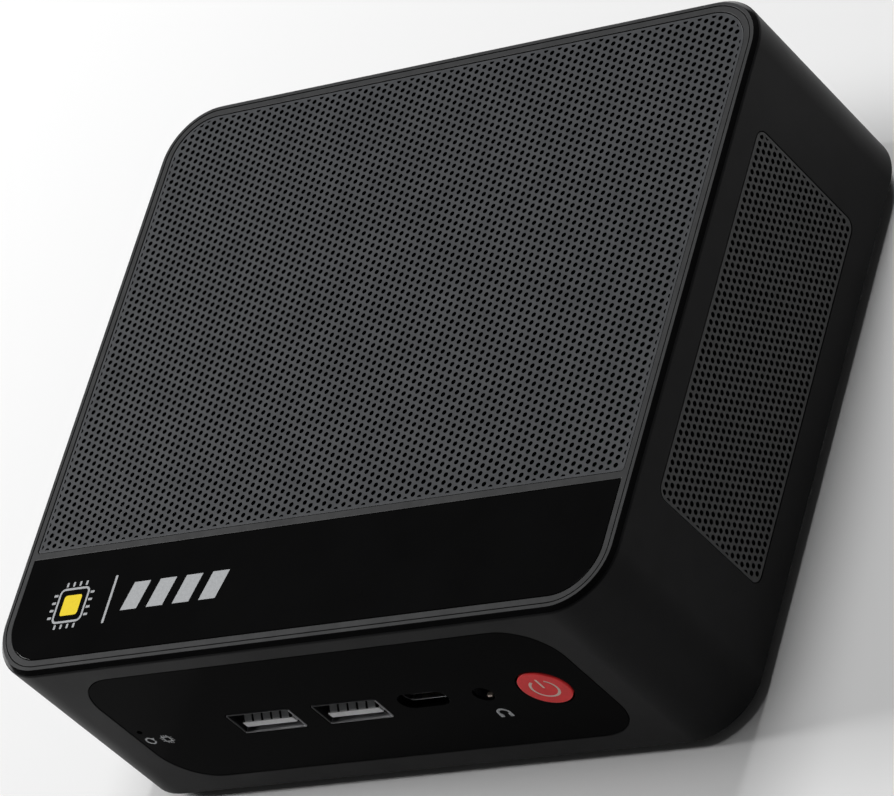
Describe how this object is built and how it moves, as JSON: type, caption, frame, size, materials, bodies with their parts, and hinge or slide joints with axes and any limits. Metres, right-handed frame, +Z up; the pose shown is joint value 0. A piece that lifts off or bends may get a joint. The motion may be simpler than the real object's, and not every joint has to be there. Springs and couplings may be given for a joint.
{
  "type": "mini pc",
  "caption": "Small desktop computer: a rounded square case with a perforated top, side vents, a glossy front socket panel and a red push button.",
  "frame": {"origin": "on the table surface, under the middle of the case", "axes": "+Z up; the front with the power button faces -Y; +X to the right of someone facing the front"},
  "size_m": [0.126, 0.113, 0.042],
  "materials": {
    "matte_black_shell": "satin black, fine texture",
    "grey_frame": "satin dark grey paint",
    "grey_mesh": "satin dark grey, perforated",
    "gloss_black": "high gloss black",
    "black_plastic": "matte black",
    "red_button": "satin red",
    "rubber_foot": "matte black rubber",
    "steel": "plated steel",
    "copper": null,
    "aluminium": "bare aluminium",
    "circuit_board": "green solder mask on glass-fibre board",
    "grey_insulator": "grey moulded insulator"
  },
  "bodies": {
    "case": {"antenna_lead_left": "black_plastic", "antenna_lead_right": "black_plastic", "antenna_left": "circuit_board", "antenna_right": "circuit_board", "audio_jack": "black_plastic", "badge_strip": "gloss_black", "battery_holder": "black_plastic", "body_shell": "matte_black_shell", "bottom_cover": "matte_black_shell", "clock_battery": "steel", "cooler_base": "copper", "cover_screw_1": "steel", "cover_screw_2": "steel", "cover_screw_3": "steel", "cover_screw_4": "steel", "fan_housing": "black_plastic", "fan_lid": "steel", "fin_stack": "aluminium", "foot_front_left": "rubber_foot", "foot_front_right": "rubber_foot", "foot_rear_left": "rubber_foot", "foot_rear_right": "rubber_foot", "front_panel": "gloss_black", "heat_pipe_left": "copper", "heat_pipe_right": "copper", "lan_socket": "steel", "mainboard": "circuit_board", "memory_module_1": "circuit_board", "memory_module_2": "circuit_board", "memory_socket": "black_plastic", "power_inlet": "black_plastic", "power_switch_body": "black_plastic", "processor": "circuit_board", "rear_panel": "matte_black_shell", "reset_switch_body": "black_plastic", "ssd_module": "circuit_board", "ssd_screw": "steel", "ssd_socket": "black_plastic", "top_frame": "grey_frame", "top_grille": "grey_mesh", "usb_a_shell_1": "steel", "usb_a_shell_2": "steel", "usb_a_tongue_1": "grey_insulator", "usb_a_tongue_2": "grey_insulator", "usb_c_shell": "steel", "usb_c_tongue": "black_plastic", "usb_stack_shell": "steel", "usb_stack_tongues": "black_plastic", "vent_grille_left": "grey_mesh", "vent_grille_right": "grey_mesh", "video_shell_1": "steel", "video_shell_2": "steel", "video_tongue_1": "black_plastic", "video_tongue_2": "black_plastic", "wifi_card": "circuit_board", "wifi_socket": "black_plastic"},
    "power_button": {"power_button": "red_button", "power_switch_plunger": "black_plastic"},
    "reset_plunger": {"reset_switch_plunger": "black_plastic"},
    "fan_rotor": {"fan_rotor": "black_plastic"}
  },
  "joints": [
    {"name": "power_button_press", "type": "slide", "parent": "case", "child": "power_button", "axis": [0, 1, 0], "range_m": [0, 0.0004], "stiffness_N_per_m": 4000},
    {"name": "reset_switch_press", "type": "slide", "parent": "case", "child": "reset_plunger", "axis": [0, 1, 0], "range_m": [0, 0.00025], "stiffness_N_per_m": 4000},
    {"name": "fan_spin", "type": "hinge", "parent": "case", "child": "fan_rotor", "pos_m": [-0.016, 0, 0.034], "axis": [0, 0, 1], "continuous": true}
  ]
}
